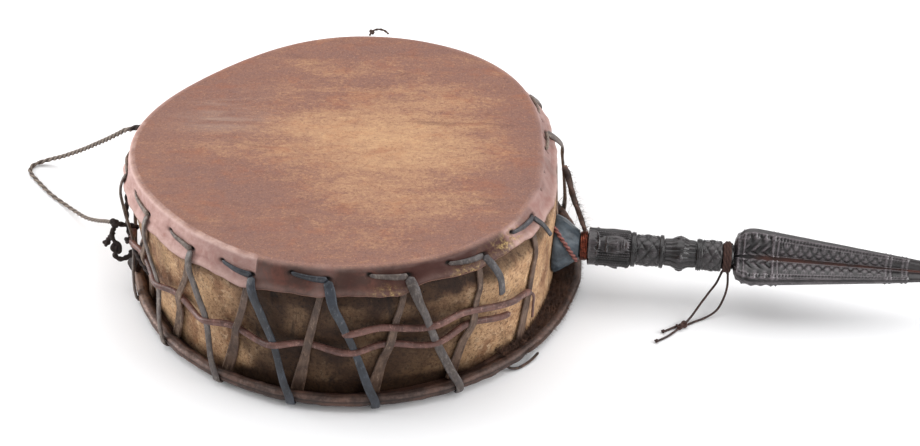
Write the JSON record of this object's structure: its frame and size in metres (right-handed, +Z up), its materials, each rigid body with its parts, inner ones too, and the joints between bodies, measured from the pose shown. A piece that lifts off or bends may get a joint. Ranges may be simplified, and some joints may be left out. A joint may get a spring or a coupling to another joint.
{
  "type": "ceremonial frame drum",
  "caption": "Double-headed ritual frame drum: bent wood hoop, hide heads laced in zigzag, rolled lower rim, carved dagger handle with a bladed tip.",
  "frame": {"origin": "middle of the lower head's flat underside, which the drum lies on", "axes": "+X along the handle from the drum to the blade's tip, +Z up through the upper head"},
  "size_m": [1.0351, 0.457, 0.1483],
  "materials": {
    "hoop_wood": "hand-hewn, worn wood with dark stains",
    "face_hide": "brown stretched hide, smoked and rubbed, pinkish skirt",
    "rolled_hide": "dark rolled raw hide with hair left on inside",
    "carved_wood": "dark carved wood, oiled",
    "collar_hide": "hard blue-black hide",
    "copper_wire": "copper-red wire",
    "brown_cord": "brown cord",
    "dark_thong": "blue-grey thong",
    "brown_thong": "brown thong",
    "hairy_hide": "twisted hide with hair",
    "red_yarn": "twisted red yarn",
    "grey_cord": "grey-brown twisted cord",
    "dark_leather": "dark leather thong"
  },
  "bodies": {
    "root": {"frame": "hoop_wood", "upper_head": "face_hide", "lower_head": "rolled_hide", "handle": "carved_wood", "handle_collar": "collar_hide", "neck_wire": "copper_wire", "blade_winding": "brown_cord", "outer_lace_01": "dark_thong", "outer_lace_02": "dark_thong", "outer_lace_03": "dark_thong", "outer_lace_04": "dark_thong", "outer_lace_05": "dark_thong", "outer_lace_06": "dark_thong", "outer_lace_07": "dark_thong", "outer_lace_08": "dark_thong", "outer_lace_09": "dark_thong", "outer_lace_10": "dark_thong", "outer_lace_11": "dark_thong", "outer_lace_12": "dark_thong", "outer_lace_13": "dark_thong", "outer_lace_14": "dark_thong", "outer_lace_15": "dark_thong", "outer_lace_16": "dark_thong", "outer_lace_17": "dark_thong", "inner_lace_01": "brown_thong", "inner_lace_02": "brown_thong", "inner_lace_03": "brown_thong", "inner_lace_04": "brown_thong", "inner_lace_05": "brown_thong", "inner_lace_06": "brown_thong", "inner_lace_07": "brown_thong", "inner_lace_08": "brown_thong", "inner_lace_09": "brown_thong", "inner_lace_10": "brown_thong", "inner_lace_11": "brown_thong", "inner_lace_12": "brown_thong", "inner_lace_13": "brown_thong", "inner_lace_14": "brown_thong", "inner_lace_15": "brown_thong", "inner_lace_16": "brown_thong", "inner_lace_17": "brown_thong", "binding_thong": "brown_thong", "binding_return": "brown_thong", "hide_lashing": "hairy_hide", "cane_end_knob": "hairy_hide", "collar_yarn": "red_yarn", "carrying_cord": "grey_cord", "carrying_knot": "dark_leather", "thong_leg_a": "dark_leather", "thong_leg_b": "dark_leather", "thong_knot": "dark_leather", "thong_tail_long": "dark_leather", "thong_tail_short": "dark_leather"}
  },
  "joints": []
}
